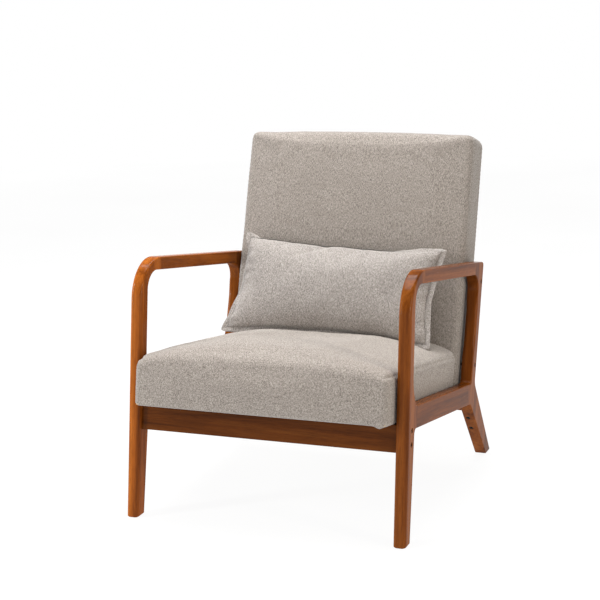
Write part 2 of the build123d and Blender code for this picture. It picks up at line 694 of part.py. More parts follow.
# ---- assembly ----------------------------------------------------------------------------------
def side_frame_nodes():
    """The right side frame, cut at its glued joints into four boards, with its dowels."""
    whole = lower_block() + shoulder() + upper_block()
    for piece in post_bar():
        whole += piece
    holes = group([place * dowel() for place in dowel_places()])
    whole -= holes
    bores = [place * bolt_hole(FRONT_BOLT_LENGTH) for place in front_bolt_places]
    bores += [place * bolt_hole(BACK_BOLT_LENGTH) for place in back_bolt_places]
    bores += [place * bolt_hole(REAR_BOLT_LENGTH) for place in rear_bolt_places]
    screws = [s for y in bracket_spots() for s in bracket_screws(y)]
    for cutter in bores + screws + [rear_rail()]:
        whole -= cutter
    before_rail = half_space(rail_front_joint, -RAIL)
    behind_rail = half_space(rail_rear_joint, RAIL)
    before_arm = half_space(arm_front_joint, -ARM)
    behind_arm = half_space(arm_rear_joint, ARM)
    above_seat = half_space(at((0, 420.0)), Vector(0, 0, 1))
    arm_bar = (whole & above_seat) - before_arm - behind_arm
    rail_bar = (whole - above_seat) - before_rail - behind_rail
    rest = whole - arm_bar - rail_bar
    front, rear = sorted(rest.solids(), key=lambda s: s.center().Y)
    return {
        "front_leg": front,
        "armrest": arm_bar,
        "side_rail": rail_bar,
        "rear_post": rear,
        "frame_dowels": group([place * dowel() for place in dowel_places()]),
    }


def build_nodes():
    nodes = {}
    for name, shape in side_frame_nodes().items():
        nodes["right_" + name] = shape
        nodes["left_" + name] = mirrored(shape)

    right_front_bolts = [place * cap_bolt(FRONT_BOLT_LENGTH) for place in front_bolt_places]
    right_rear_bolts = [place * cap_bolt(REAR_BOLT_LENGTH) for place in rear_bolt_places]
    right_back_bolts = [place * cap_bolt(BACK_BOLT_LENGTH) for place in back_bolt_places]
    nodes["front_rail_bolts"] = both_sides(right_front_bolts)
    nodes["rear_rail_bolts"] = both_sides(right_rear_bolts)
    nodes["back_bolts"] = both_sides(right_back_bolts)

    nodes["front_rail_barrel_nuts"] = both_sides([place * barrel_nut() for place in barrel_places])
    rail_inserts = [place * threaded_insert(RAIL_INSERT) for place in rail_insert_places]
    back_inserts = [place * threaded_insert(BACK_INSERT) for place in back_insert_places]
    nodes["rear_rail_inserts"] = both_sides(rail_inserts)
    nodes["back_frame_inserts"] = both_sides(back_inserts)

    front_cutters = [place * bolt_hole(FRONT_BOLT_LENGTH + 2) for place in front_bolt_places]
    front_cutters += [place * Cylinder(INSERT_DIAMETER / 2, BARREL_LENGTH) for place in barrel_places]
    nodes["front_rail"] = front_rail() - both_sides(front_cutters)
    rear_cutters = [place * bolt_hole(REAR_BOLT_LENGTH) for place in rear_bolt_places]
    rear_cutters += [place * insert_hole(RAIL_INSERT) for place in rail_insert_places]
    nodes["rear_rail"] = rear_rail() - both_sides(rear_cutters)

    brackets = [seat_bracket(y) for y in bracket_spots()]
    screws = [s for y in bracket_spots() for s in bracket_screws(y)]
    all_screws = both_sides(screws)
    nodes["seat_brackets"] = group([solid - all_screws for solid in both_sides(brackets).solids()])
    nodes["bracket_screws"] = all_screws

    for name, stick in seat_sticks().items():
        nodes[name] = stick - all_screws
    nodes["seat_springs"] = group([zigzag_spring(x) for x in spring_spots()])
    last_bar = SEAT_LENGTH - SPRING_START
    clips = [spring_clip(x, y) for x in spring_spots() for y in (SPRING_START, last_bar)]
    nodes["spring_clips"] = group(clips)
    nodes["seat_foam"] = seat_block(CLOTH + 0.2) & slab_above(seat_plane, SEAT_FOAM_LOW)
    cover = seat_block(0) - seat_block(CLOTH) - seat_opening(0, -1, CLOTH + 1)
    nodes["seat_cover"] = cover - all_screws
    nodes["seat_dust_cover"] = seat_opening(0.5, 0.2, 1.0)

    back_cutters = both_sides([place * bolt_hole(BACK_BOLT_LENGTH) for place in back_bolt_places])
    insert_cutters = both_sides([place * insert_hole(BACK_INSERT) for place in back_insert_places])
    for name, stick in back_sticks().items():
        nodes[name] = stick - back_cutters - insert_cutters
    nodes["back_panel"] = back_panel()
    nodes["back_webbing"] = group(back_straps())
    foam_level = STICK_BACK + BACK_STICK_DEPTH + STRAP_THICK + 0.5
    nodes["back_foam"] = back_block(CLOTH + 0.2) & slab_above(back_plane, foam_level)
    nodes["back_cover"] = back_block(0) - back_block(CLOTH) - back_cutters

    nodes["pillow_filling"] = pillow_block(CLOTH + 0.2)
    nodes["pillow_cover"] = (pillow_block(0) + pillow_flange()) - pillow_block(CLOTH)
    nodes["pillow_zip"] = pillow_zip()
    return nodes


def both_sides(right_shapes):
    """The given right-hand solids and their mirror images, as separate solids."""
    return group(list(right_shapes) + [mirrored(shape) for shape in right_shapes])


def build_and_write():
    nodes = build_nodes()
    box = group(nodes.values()).bounding_box()
    centre = Location((0, -(box.min.Y + box.max.Y) / 2, 0))
    os.makedirs("parts", exist_ok=True)
    for name, shape in nodes.items():
        export_step(centre * shape, f"parts/{name}.step")
    print("box", box.size, "moved by", -(box.min.Y + box.max.Y) / 2)


build_and_write()
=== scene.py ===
"""Looks of the wooden armchair: stained wood, simulated cushions, a flanged pillow, light and camera.

Metres in the row frame. Each cushion is built in the axes of the plane that it lies on: X across the
chair, Y along the seat, back or pillow, Z out of it.
"""

import math

import bmesh
import bpy
import numpy as np
from mathutils import Matrix, Vector
from mathutils.bvhtree import BVHTree

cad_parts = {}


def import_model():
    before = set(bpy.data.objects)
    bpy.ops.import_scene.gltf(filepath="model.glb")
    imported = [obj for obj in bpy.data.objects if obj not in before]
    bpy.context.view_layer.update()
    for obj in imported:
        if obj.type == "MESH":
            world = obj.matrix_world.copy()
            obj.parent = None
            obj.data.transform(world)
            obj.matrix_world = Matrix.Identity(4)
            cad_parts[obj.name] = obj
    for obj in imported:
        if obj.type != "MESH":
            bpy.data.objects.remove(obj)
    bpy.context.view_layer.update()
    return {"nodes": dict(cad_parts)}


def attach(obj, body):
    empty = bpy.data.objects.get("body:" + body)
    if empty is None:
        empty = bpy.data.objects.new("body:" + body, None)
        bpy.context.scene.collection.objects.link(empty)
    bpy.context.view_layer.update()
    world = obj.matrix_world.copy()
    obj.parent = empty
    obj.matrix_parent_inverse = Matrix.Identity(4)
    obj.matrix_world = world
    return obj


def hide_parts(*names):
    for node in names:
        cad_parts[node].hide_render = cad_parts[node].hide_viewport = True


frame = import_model()
nodes = frame["nodes"]
scene = bpy.context.scene

# ---- sizes ---------------------------------------------------------------------------------
CUSHION_HALF = 0.2935
RAIL_TILT = 9.4
RECLINE = 18.05
LEG_LEAN = 7.9
ARM_TILT = 9.1

SEAT_ORIGIN = (-0.3841, 0.2594)      # row-frame (y, z) of the seat's lower front edge
SEAT_LENGTH = 0.4787
SEAT_REAR_SLOPE = 0.152              # the seat's rear face leans back with the chair's back
SEAT_SIDE = 0.104                    # height of the side panels, up to their top seam
SEAT_CROWN = 0.040
SEAT_OPENING = 0.2585                # half width of the opening below, closed by the dust cover
SEAT_OPENING_INSET = 0.035
SEAT_ROUND = (0.013, 0.013, 0.004)   # blank's roundings: upright edges, top rim, lower rim
SEAT_FRONT_BULGE = 0.0045
SEAT_FRONT_DROP = 0.011
SEAT_TAB = 0.0065                    # how far the cloth's corner hangs down at the lower right

BACK_ORIGIN = (0.2035, 0.1915)
BACK_LOW = -0.026
BACK_HIGH = 0.5955
BACK_THICK = 0.105
BACK_ROUND = (0.018, 0.018, 0.012)
BACK_BULGE = 0.006

PILLOW_ORIGIN = (0.0169, 0.322)
PILLOW_TILT = 33.0
PILLOW_TURN = -1.2
PILLOW_HALF = (0.2505, 0.1205)       # half width and height inside the flange
PILLOW_HALF_THICK = 0.104 / 2 * 0.86  # before the simulation, which fills it further
FLANGE = 0.012
FLANGE_THICK = 0.003
ZIP_SPAN = (20, 93)                  # the points of the lower seam between which the zip runs
ZIP_PROFILE = ((-0.0010, 0.0018), (-0.0055, 0.0018), (-0.0055, 0.0024), (-0.0040, 0.0025),
               (-0.0033, 0.0030), (-0.0026, 0.0025), (-0.0010, 0.0024))   # along the pillow, rearward
ZIP_RIDGE = 4                        # the profile's point that carries the teeth
ZIP_TOOTH = 0.0004

VOXEL = 0.005
SIM_FRAMES = 20
SEAT_CAP, BACK_CAP, PILLOW_CAP = 0.006, 0.005, 0.012   # furthest that a point may move

WOOD_DARK = (0.095, 0.022, 0.0030)
WOOD_MIDDLE = (0.270, 0.072, 0.0090)
WOOD_LIGHT = (0.420, 0.132, 0.0210)
LINEN_LIGHT = (0.58, 0.524, 0.472)
LINEN_DARK = (0.17, 0.145, 0.124)
BACK_PAINTED_SHADE = 0.86                    # painted shade: the back's cloth is the seat's cloth made a little darker, for the less light that falls on the upright back
PILLOW_LIGHT = (0.575, 0.533, 0.495)
PILLOW_DARK = (0.165, 0.146, 0.133)
WOOD_TONES_AND_PAINTED_LIGHT = {"left": (1.45, 1.15, 0.95, 0.95), "right": (0.82, 0.78, 0.72, 0.80)}   # leg, arm, rail, post; partly each piece's own tone, partly painted light: left side made lighter as lit, right side darker as shaded

LIGHT_TARGET = (0, 0, 0.4)
LIGHTS = (                           # name, place, size, watts, tint
    ("top", (-0.3, 0.35, 2.6), (1.8, 1.8), 90, (1, 1, 1)),
    ("front_left", (-2.3, -1.7, 1.2), (0.18, 1.6), 42, (1, 1, 1)),
    ("right", (2.4, -0.9, 1.0), (0.2, 1.4), 18, (1.0, 0.90, 0.76)),
)
CAMERA_PLACE = (1.2593, -3.1326, 1.1954)
CAMERA_TURN = (20.25, 9.81, -1.38)   # azimuth, pitch downward, roll
CAMERA_LENS = 89.17
CAMERA_SHIFT = (-0.1, -0.1333)

WALL_RADIUS = 6.0
WALL_HEIGHT = 1.8
WALL_SIDES = 96


# ---- small helpers -------------------------------------------------------------------------
def tilted_plane(origin, up_lean):
    """Matrix of a plane across the chair, whose normal leans back from vertical by that angle."""
    lean = math.radians(up_lean)
    y_axis = Vector((0, math.cos(lean), -math.sin(lean)))
    z_axis = Vector((0, math.sin(lean), math.cos(lean)))
    matrix = Matrix((Vector((1, 0, 0)), y_axis, z_axis)).transposed().to_4x4()
    matrix.translation = (0, origin[0], origin[1])
    return matrix


def new_object(name, mesh, matrix=None):
    obj = bpy.data.objects.new(name, mesh)
    scene.collection.objects.link(obj)
    if matrix is not None:
        obj.matrix_world = matrix
    return obj


def bake(obj):
    """Replaces obj's mesh by what its modifiers make of it."""
    bpy.context.view_layer.update()
    made = bpy.data.meshes.new_from_object(obj.evaluated_get(bpy.context.evaluated_depsgraph_get()))
    obj.modifiers.clear()
    obj.data = made


def points_of(mesh):
    flat = np.empty(3 * len(mesh.vertices))
    mesh.vertices.foreach_get("co", flat)
    return flat.reshape(-1, 3)


def normals_of(mesh):
    flat = np.empty(3 * len(mesh.vertices))
    mesh.vertices.foreach_get("normal", flat)
    return flat.reshape(-1, 3)


def move_points(mesh, points):
    mesh.vertices.foreach_set("co", points.ravel())
    mesh.update()


def edge_ends(mesh):
    """The two vertices of every edge, as two arrays."""
    ends = np.empty(2 * len(mesh.edges), dtype=np.int64)
    mesh.edges.foreach_get("vertices", ends)
    return ends.reshape(-1, 2).T


def smooth(obj):
    for polygon in obj.data.polygons:
        polygon.use_smooth = True


def step(value, low, high):
    """Smooth rise from 0 at low to 1 at high."""
    share = np.clip((value - low) / (high - low), 0, 1)
    return share * share * (3 - 2 * share)


def ripple(points, size, seed=0.0):
    """Smooth, repeatable unevenness between -1 and 1, with features about size across."""
    x, y, z = (points / size).T
    first = np.sin(1.7 * x + 0.9 * y + 2.3 * z + seed) + np.sin(0.8 * x - 1.9 * y + 1.1 * z + 2.1 + seed)
    second = np.sin(2.9 * x + 1.3 * z - 0.7 + 1.7 * seed) * np.sin(2.3 * y - 0.8 * x + 0.4 * seed)
    return (first + second) / 3


# ---- materials -----------------------------------------------------------------------------
def new_material(name):
    material = bpy.data.materials.new(name)
    material.use_nodes = True
    tree = material.node_tree
    return material, tree, tree.nodes["Principled BSDF"]


def ramp(tree, source, stops):
    node = tree.nodes.new("ShaderNodeValToRGB")
    elements = node.color_ramp.elements
    while len(elements) < len(stops):
        elements.new(0.5)
    for element, (place, colour) in zip(elements, stops):
        element.position = place
        element.color = (*colour, 1)
    tree.links.new(source, node.inputs["Fac"])
    return node.outputs["Color"]


def noise(tree, coordinates, scale, detail=3.0, roughness=0.55, distortion=0.0):
    node = tree.nodes.new("ShaderNodeTexNoise")
    node.inputs["Scale"].default_value = scale
    node.inputs["Detail"].default_value = detail
    node.inputs["Roughness"].default_value = roughness
    node.inputs["Distortion"].default_value = distortion
    tree.links.new(coordinates, node.inputs["Vector"])
    return node.outputs["Fac"]


def mapped(tree, scale=(1, 1, 1), turn=(0, 0, 0)):
    """Object coordinates, turned and then stretched."""
    source = tree.nodes.new("ShaderNodeTexCoord").outputs["Object"]
    if any(turn):
        spin = tree.nodes.new("ShaderNodeMapping")
        spin.inputs["Rotation"].default_value = [math.radians(angle) for angle in turn]
        tree.links.new(source, spin.inputs["Vector"])
        source = spin.outputs["Vector"]
    node = tree.nodes.new("ShaderNodeMapping")
    node.inputs["Scale"].default_value = scale
    tree.links.new(source, node.inputs["Vector"])
    return node.outputs["Vector"]


def mix(tree, factor, first, second, blend="MIX"):
    """Colour mix. factor is a number or an output."""
    node = tree.nodes.new("ShaderNodeMix")
    node.data_type = "RGBA"
    node.blend_type = blend
    for socket, value in ((node.inputs[0], factor), (node.inputs[6], first), (node.inputs[7], second)):
        if isinstance(value, bpy.types.NodeSocket):
            tree.links.new(value, socket)
        elif isinstance(value, tuple):
            socket.default_value = (*value, 1)
        else:
            socket.default_value = value
    return node.outputs[2]


def darken(tree, base, amount, source, low, high, tint):
    """Multiplies base by tint where source is under low, fading to no change at high."""
    return mix(tree, amount, base, ramp(tree, source, ((low, tint), (high, (1, 1, 1)))), "MULTIPLY")


def math_node(tree, operation, first, second=0.0):
    node = tree.nodes.new("ShaderNodeMath")
    node.operation = operation
    for socket, value in zip(node.inputs, (first, second)):
        if isinstance(value, bpy.types.NodeSocket):
            tree.links.new(value, socket)
        else:
            socket.default_value = value
    return node.outputs[0]


def span(tree, source, low, high):
    """A 0 to 1 output, spread over low to high."""
    node = tree.nodes.new("ShaderNodeMapRange")
    node.inputs["To Min"].default_value = low
    node.inputs["To Max"].default_value = high
    tree.links.new(source, node.inputs["Value"])
    return node.outputs["Result"]


def bump(tree, shader, height, strength, distance):
    node = tree.nodes.new("ShaderNodeBump")
    node.inputs["Strength"].default_value = strength
    node.inputs["Distance"].default_value = distance
    tree.links.new(height, node.inputs["Height"])
    tree.links.new(node.outputs["Normal"], shader.inputs["Normal"])


def wood(name, tilt=0.0, grain="Z", shade=1.0, gloss=0.20):
    """Walnut-stained hardwood under lacquer. The grain runs along Z leant back by tilt, or along X."""
    material, tree, shader = new_material(name)
    if grain == "Z":
        long_way = (1, 1, 0.055)
    else:
        long_way = (0.055, 1, 1)
    turn = (tilt, 0, 0)
    coarse = noise(tree, mapped(tree, tuple(26 * s for s in long_way), turn), 1.0, 4.0, 0.6, 0.6)
    streaks = noise(tree, mapped(tree, tuple(210 * s for s in long_way), turn), 1.0, 3.0, 0.6)
    pores = noise(tree, mapped(tree, tuple(900 * s for s in long_way), turn), 1.0, 2.0, 0.5)
    cloud = noise(tree, mapped(tree), 7.0, 2.0)
    dark, middle, light = (tuple(shade * c for c in tone) for tone in (WOOD_DARK, WOOD_MIDDLE, WOOD_LIGHT))
    base = ramp(tree, coarse, ((0.30, dark), (0.52, middle), (0.74, light)))
    base = darken(tree, base, 0.38, streaks, 0.32, 0.62, (0.45, 0.42, 0.40))
    base = darken(tree, base, 0.35, pores, 0.36, 0.50, (0.45, 0.40, 0.38))
    base = darken(tree, base, 0.25, cloud, 0.3, 0.7, (0.75, 0.70, 0.68))
    tree.links.new(base, shader.inputs["Base Color"])
    tree.links.new(span(tree, streaks, gloss - 0.05, gloss + 0.13), shader.inputs["Roughness"])
    shader.inputs["Specular IOR Level"].default_value = 0.01
    shader.inputs["Coat Weight"].default_value = 0.17
    shader.inputs["Coat Roughness"].default_value = 0.13
    bump(tree, shader, math_node(tree, "ADD", streaks, pores), 0.10, 0.0004)
    return material


def threads(tree, axis, pitch):
    """Bands across one axis of the piece, one per thread."""
    node = tree.nodes.new("ShaderNodeTexWave")
    node.wave_type = "BANDS"
    node.bands_direction = axis
    node.inputs["Scale"].default_value = 0.314 / pitch
    node.inputs["Distortion"].default_value = 2.2
    node.inputs["Detail"].default_value = 2.0
    node.inputs["Detail Scale"].default_value = 1.4
    tree.links.new(mapped(tree), node.inputs["Vector"])
    return node.outputs["Fac"]


def linen(name, light, dark, shade=1.0):
    """Heathered plain weave: light and dark yarns along and across the piece."""
    material, tree, shader = new_material(name)
    sideways = tree.nodes.new("ShaderNodeSeparateXYZ")
    tree.links.new(tree.nodes.new("ShaderNodeTexCoord").outputs["Normal"], sideways.inputs["Vector"])
    on_side = math_node(tree, "GREATER_THAN", math_node(tree, "ABSOLUTE", sideways.outputs["X"]), 0.7)
    front_warp = noise(tree, mapped(tree, (1300, 190, 300)), 1.0, 2.0, 0.6)
    side_warp = noise(tree, mapped(tree, (1300, 260, 520)), 1.0, 2.0, 0.6)
    warp = mix(tree, on_side, front_warp, side_warp)
    weft = noise(tree, mapped(tree, (380, 1300, 1100)), 1.0, 2.0, 0.6)
    flecks = noise(tree, mapped(tree), 1300.0, 2.0, 0.6)
    cloud = noise(tree, mapped(tree), 9.0, 3.0)
    light = tuple(shade * c for c in light)
    dark = tuple(shade * c for c in dark)
    yarn = math_node(tree, "MULTIPLY", math_node(tree, "ADD", warp, weft), 0.5)
    middle = tuple((a + b) / 2 for a, b in zip(light, dark))
    base = ramp(tree, yarn, ((0.41, dark), (0.50, middle), (0.59, light)))
    base = darken(tree, base, 0.55, flecks, 0.36, 0.56, (0.50, 0.47, 0.45))
    base = darken(tree, base, 0.20, cloud, 0.3, 0.7, (0.80, 0.79, 0.80))
    across = math_node(tree, "MAXIMUM", threads(tree, "X", 0.0016), threads(tree, "Y", 0.0016))
    weave = math_node(tree, "MAXIMUM", across, threads(tree, "Z", 0.0016))
    base = darken(tree, base, 0.30, weave, 0.2, 0.8, (0.55, 0.53, 0.52))
    tree.links.new(base, shader.inputs["Base Color"])
    tree.links.new(span(tree, flecks, 0.82, 0.98), shader.inputs["Roughness"])
    shader.inputs["Sheen Weight"].default_value = 0.22
    shader.inputs["Sheen Roughness"].default_value = 0.45
    shader.inputs["Specular IOR Level"].default_value = 0.25
    bump(tree, shader, math_node(tree, "ADD", weave, flecks), 0.35, 0.0006)
    return material


def plain(name, colour, roughness, metallic=0.0, grain=60.0, depth=0.1):
    """A minor piece: uneven colour and a little relief."""
    material, tree, shader = new_material(name)
    wear = noise(tree, mapped(tree), grain, 4.0, 0.6)
    low = tuple(0.7 * c for c in colour)
    high = tuple(min(1.0, 1.2 * c) for c in colour)
    tree.links.new(ramp(tree, wear, ((0.3, low), (0.7, high))), shader.inputs["Base Color"])
    tree.links.new(span(tree, wear, roughness - 0.08, roughness + 0.08), shader.inputs["Roughness"])
    shader.inputs["Metallic"].default_value = metallic
    bump(tree, shader, wear, depth, 0.0005)
    return material


def dress(material, *names):
    """Gives CAD nodes a material."""
    for name in names:
        node = nodes[name]
        if not node.data.materials:
            node.data.materials.append(material)
        for index in range(len(node.data.materials)):
            node.data.materials[index] = material


# ---- cushions ------------------------------------------------------------------------------
def block(name, matrix, outline, half_width, end_round, top_round, low_round):
    """Closed, rounded cushion blank, voxel remeshed. outline is its (y, z) section, from the lower front
    edge round the rear to the upper front edge."""
    mesh = bpy.data.meshes.new(name)
    work = bmesh.new()
    sides = [[work.verts.new((x, y, z)) for y, z in outline] for x in (-half_width, half_width)]
    work.faces.new(sides[0][::-1])
    work.faces.new(sides[1])
    count = len(outline)
    for index in range(count):
        following = (index + 1) % count
        work.faces.new((sides[0][index], sides[0][following], sides[1][following], sides[1][index]))
    bmesh.ops.recalc_face_normals(work, faces=work.faces)
    heights = sorted({round(z, 4) for _, z in outline})

    def level(vertex):
        return round(vertex.co.z, 4)

    upright = [e for e in work.edges if level(e.verts[0]) != level(e.verts[1])]
    bmesh.ops.bevel(work, geom=upright, offset=end_round, segments=6, profile=0.5, affect="EDGES")
    for height, radius in ((heights[-1], top_round), (heights[0], low_round)):
        rim = [e for e in work.edges
               if abs(e.verts[0].co.z - height) < 1e-4 and abs(e.verts[1].co.z - height) < 1e-4
               and len(e.link_faces) == 2 and abs(e.link_faces[0].normal.dot(e.link_faces[1].normal)) < 0.6]
        bmesh.ops.bevel(work, geom=rim, offset=radius, segments=6, profile=0.5, affect="EDGES")
    work.to_mesh(mesh)
    work.free()
    obj = new_object(name, mesh, matrix)
    remesh = obj.modifiers.new("voxels", "REMESH")
    remesh.mode = "VOXEL"
    remesh.voxel_size = VOXEL
    bake(obj)
    return obj


def spread(mesh, values, rounds):
    """Evens out a row of values per vertex over the mesh's edges."""
    first, second = edge_ends(mesh)
    count = len(mesh.vertices)
    around = np.bincount(first, minlength=count) + np.bincount(second, minlength=count)
    for _ in range(rounds):
        total = np.stack([np.bincount(first, values[second, column], count)
                          + np.bincount(second, values[first, column], count)
                          for column in range(values.shape[1])], axis=1)
        values = 0.4 * values + 0.6 * total / np.maximum(around, 1)[:, None]
    return values


def swell(obj, held, cap, pressure=4.0, stiffness=15.0, calm=14):
    """Fills the piece by cloth simulation. held gives, per vertex, how firmly it stays in place, and no
    point moves further than cap. calm rounds of evening out leave only the wide folds."""
    start = points_of(obj.data)
    group = obj.vertex_groups.new(name="held")
    for level in range(1, 11):
        members = np.nonzero(np.round(held * 10) == level)[0]
        group.add([int(i) for i in members], level / 10, "REPLACE")
    cloth = obj.modifiers.new("swell", "CLOTH")
    settings = cloth.settings
    settings.quality = 5
    settings.mass = 0.3
    settings.tension_stiffness = stiffness
    settings.compression_stiffness = stiffness
    settings.shear_stiffness = stiffness / 3
    settings.bending_stiffness = 0.8
    settings.use_pressure = True
    settings.uniform_pressure_force = pressure
    settings.vertex_group_mass = "held"
    settings.effector_weights.gravity = 0
    cloth.point_cache.frame_start = 1
    cloth.point_cache.frame_end = SIM_FRAMES
    for number in range(1, SIM_FRAMES + 1):
        scene.frame_set(number)
    bake(obj)
    scene.frame_set(1)
    moved = spread(obj.data, points_of(obj.data) - start, calm)
    reach = np.linalg.norm(moved, axis=1)
    scale = np.where(reach > cap, cap / np.maximum(reach, 1e-9), 1.0)
    move_points(obj.data, start + moved * scale[:, None])


def refine(obj):
    """One subdivision, applied."""
    obj.modifiers.new("fine", "SUBSURF").levels = 1
    bake(obj)
    smooth(obj)


def press(obj, distance, along, depth=0.0014, width=0.0026, pucker=0.0007, pitch=0.011):
    """Sinks a seam into the piece. distance and along are each vertex's distance from the seam and place
    along it; small puckers cross it."""
    points = points_of(obj.data)
    groove = depth * np.exp(-(distance / width) ** 2)
    folds = pucker * np.exp(-(distance / (5 * width)) ** 2) * np.sin(2 * math.pi * along / pitch + 9 * along)
    move_points(obj.data, points - normals_of(obj.data) * (groove + folds)[:, None])


def seat_cushion():
    """Box cushion: one cloth over front and top, side panels seamed to it, rear end against the back."""
    top = SEAT_SIDE + 0.002
    outline = [(0.004, 0.0), (SEAT_LENGTH, 0.0), (SEAT_LENGTH + SEAT_REAR_SLOPE * top, top), (0.004, top)]
    obj = block("seat_cushion", tilted_plane(SEAT_ORIGIN, RAIL_TILT), outline, CUSHION_HALF - 0.0005,
                *SEAT_ROUND)
    points = points_of(obj.data)
    x, y, z = points.T
    u = x / CUSHION_HALF
    rear = SEAT_LENGTH + SEAT_REAR_SLOPE * z
    across = np.clip(1 - np.abs(u) ** 4.6, 0, 1) ** 0.8
    lengthwise = (0.66 + 0.34 * step(y, 0.0, 0.15)) * (1 - 0.15 * step(y, 0.33, 0.45))
    high = step(z, 0.35 * SEAT_SIDE, top)
    points[:, 2] += high * (SEAT_CROWN * across * lengthwise - SEAT_FRONT_DROP * (1 - step(y, 0.0, 0.045)))
    middle = 1 - (2 * np.clip(z / top, 0, 1) - 1) ** 2
    front = 1 - step(y, 0.0, 0.05)
    points[:, 1] -= SEAT_FRONT_BULGE * front * middle * (1 - u ** 4)
    points[:, 0] += np.sign(x) * 0.0008 * middle * np.clip(1 - (2 * y / rear - 1) ** 4, 0, 1)
    move_points(obj.data, points)
    x, y, z = points.T
    low = 1 - step(z, 0.004, 0.02)
    rear_hold = step(y, rear - 0.02, rear - 0.006)
    side_hold = step(np.abs(x), CUSHION_HALF - 0.012, CUSHION_HALF - 0.004)
    swell(obj, np.clip(np.maximum(np.maximum(low, rear_hold), side_hold), 0, 1), SEAT_CAP, calm=60)
    refine(obj)

    points = points_of(obj.data)
    x, y, z = points.T
    on_side = step(np.abs(x), CUSHION_HALF - 0.014, CUSHION_HALF - 0.007)
    line = np.where(on_side > 0.01, np.abs(z - SEAT_SIDE + 0.002), 1.0)
    press(obj, line, y, depth=0.0018)
    points = points_of(obj.data)
    x, y, z = points.T
    corner = np.where((on_side > 0.01) & (z < SEAT_SIDE), np.abs(y - 0.024), 1.0)
    press(obj, corner, z, depth=0.0014, pucker=0.0004)

    points = points_of(obj.data)
    x, y, z = points.T
    folds = 0.0007 * ripple(points, 0.060) + 0.0004 * ripple(points, 0.021, 2.0)
    points += normals_of(obj.data) * (folds * step(z, 0.004, 0.02) * (1 - on_side))[:, None]
    tab = np.exp(-((x - CUSHION_HALF + 0.020) / 0.009) ** 2 - ((y - 0.004) / 0.008) ** 2)
    points[:, 2] -= SEAT_TAB * tab * (z < 0.012)
    opening = ((np.abs(x) < SEAT_OPENING) & (y > SEAT_OPENING_INSET)
               & (y < SEAT_LENGTH - SEAT_OPENING_INSET) & (z < 0.006))
    points[opening, 2] = 0.0016
    move_points(obj.data, points)
    return obj


def back_cushion():
    """Leaning back: flat rear, softly crowned front, seams down the sides."""
    outline = [(BACK_LOW, 0.0), (BACK_HIGH - 0.002, 0.0), (BACK_HIGH - 0.002, BACK_THICK - 0.002),
               (BACK_LOW, BACK_THICK - 0.002)]
    obj = block("back_cushion", tilted_plane(BACK_ORIGIN, RECLINE - 90), outline, CUSHION_HALF - 0.002,
                *BACK_ROUND)
    points = points_of(obj.data)
    x, y, z = points.T
    u = x / CUSHION_HALF
    v = (y - BACK_LOW) / (BACK_HIGH - BACK_LOW)
    above_pillow = 0.25 + 0.75 * step(y, 0.26, 0.42)
    front = step(z, 0.02, BACK_THICK)
    points[:, 2] += BACK_BULGE * front * (1 - u ** 4) * (1 - (2 * v - 1) ** 6) * above_pillow
    points[:, 1] += 0.004 * step(y, 0.5, BACK_HIGH) * (1 - u * u)
    move_points(obj.data, points)
    x, y, z = points.T
    rear_hold = 1 - step(z, 0.02, 0.05)
    low_hold = 1 - step(y, 0.0, 0.05)
    side_hold = step(np.abs(x), CUSHION_HALF - 0.012, CUSHION_HALF - 0.004)
    swell(obj, np.clip(np.maximum(np.maximum(rear_hold, low_hold), side_hold), 0, 1), BACK_CAP)
    refine(obj)

    points = points_of(obj.data)
    x, y, z = points.T
    on_side = np.abs(x) > CUSHION_HALF - 0.012
    press(obj, np.where(on_side, np.abs(z - BACK_THICK + 0.022), 1.0), y, depth=0.0013, pucker=0.0003)
    press(obj, np.where(on_side | (y > BACK_HIGH - 0.010), np.abs(z - 0.014), 1.0), y + x, depth=0.0016,
          pucker=0.0003)
    points = points_of(obj.data)
    folds = 0.0006 * ripple(points, 0.075, 1.0) + 0.0003 * ripple(points, 0.024, 4.0)
    x, y, z = points.T
    points += normals_of(obj.data) * (folds * step(z, 0.01, 0.04))[:, None]
    move_points(obj.data, points)
    return obj


# ---- pillow ----------------------------------------------------------------------------------
def pillow_matrix():
    """The pillow's plane, turned a little in itself about its lower edge's middle."""
    base = tilted_plane(PILLOW_ORIGIN, PILLOW_TILT - 90)
    return base @ Matrix.Rotation(math.radians(PILLOW_TURN), 4, "Z")


def pillow_body(columns=112, rows=54):
    """Two sheets joined along their edges and filled. Returns the object and the vertices of its edge in
    order."""
    half_x, half_y = PILLOW_HALF
    centre_y = half_y + FLANGE
    verts = []
    index = {}

    def sheet_point(i, j, side):
        u = 2 * i / columns - 1
        v = 2 * j / rows - 1
        pull_x = 0.009 * (1 - v * v)
        pull_y = (0.011 if v > 0 else 0.012) * (1 - u * u)
        puff = (max(0.0, 1 - abs(u) ** 2.8) * max(0.0, 1 - abs(v) ** 2.6)) ** 0.47
        if u > 0:
            pull_x *= 1.6
        elif v < 0:
            pull_x -= 0.006 * v * v
        x = u * (half_x - pull_x)
        y = centre_y + v * (half_y - pull_y) - 0.0045 * max(0.0, v + 0.4) * max(0.0, u + 0.1)
        return (x, y, side * puff * PILLOW_HALF_THICK)

    for side in (1, -1):
        for j in range(rows + 1):
            for i in range(columns + 1):
                edge = i in (0, columns) or j in (0, rows)
                if edge and side < 0:
                    index[side, i, j] = index[1, i, j]
                    continue
                index[side, i, j] = len(verts)
                verts.append(sheet_point(i, j, side))
    faces = []
    for side in (1, -1):
        for j in range(rows):
            for i in range(columns):
                quad = [index[side, a, b] for a, b in ((i, j), (i + 1, j), (i + 1, j + 1), (i, j + 1))]
                faces.append(quad if side > 0 else quad[::-1])
    mesh = bpy.data.meshes.new("pillow")
    mesh.from_pydata(verts, [], faces)
    obj = new_object("pillow", mesh, pillow_matrix())
    ring = [index[1, i, 0] for i in range(columns)]
    ring += [index[1, columns, j] for j in range(rows)]
    ring += [index[1, i, rows] for i in range(columns, 0, -1)]
    ring += [index[1, 0, j] for j in range(rows, 0, -1)]
    return obj, ring


